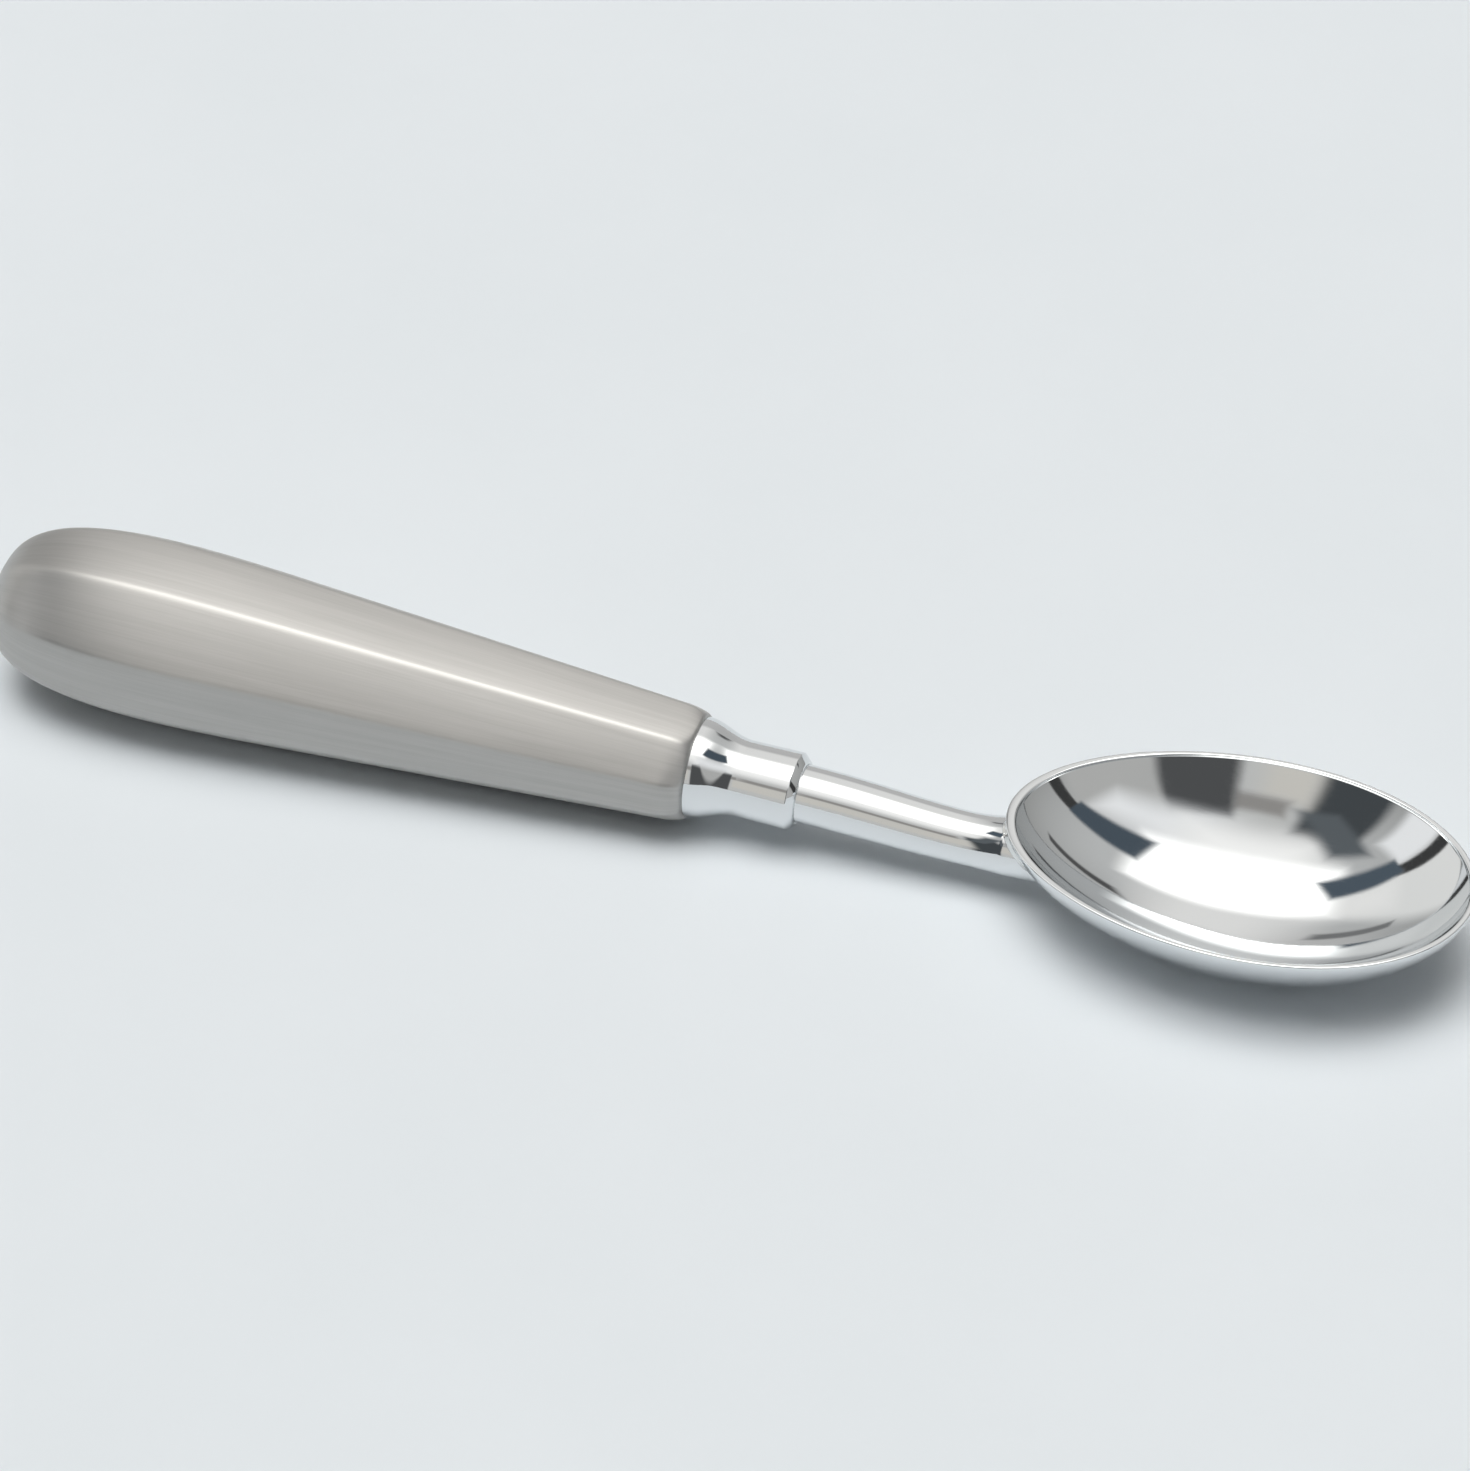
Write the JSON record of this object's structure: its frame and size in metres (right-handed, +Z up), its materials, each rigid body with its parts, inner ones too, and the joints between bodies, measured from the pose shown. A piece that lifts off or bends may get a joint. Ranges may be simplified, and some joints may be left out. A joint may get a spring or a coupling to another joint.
{
  "type": "quenelle spoon",
  "caption": "Spoon with a deep oval bowl on a bent round shank, a turned ferrule and a hollow faceted handle, for shaping and serving quenelles.",
  "frame": {"origin": "middle of the footprint, on the table plane that the bowl and the swell of the handle touch", "axes": "+X from the butt of the handle to the tip of the bowl, +Y across the bowl, +Z up out of the bowl's mouth"},
  "size_m": [0.1928, 0.0368, 0.0226],
  "materials": {
    "polished_steel": "mirror polished stainless steel",
    "satin_steel": "stainless steel brushed lengthwise to a satin",
    "braze_filler": "white braze filler, polished flush with the steel",
    "bonding_resin": "cast filled resin, dull"
  },
  "bodies": {
    "root": {"bowl": "polished_steel", "bowl_braze_fillet": "braze_filler", "shank": "polished_steel", "ferrule": "polished_steel", "handle_upper_shell": "satin_steel", "handle_lower_shell": "satin_steel", "handle_core": "bonding_resin"}
  },
  "joints": []
}
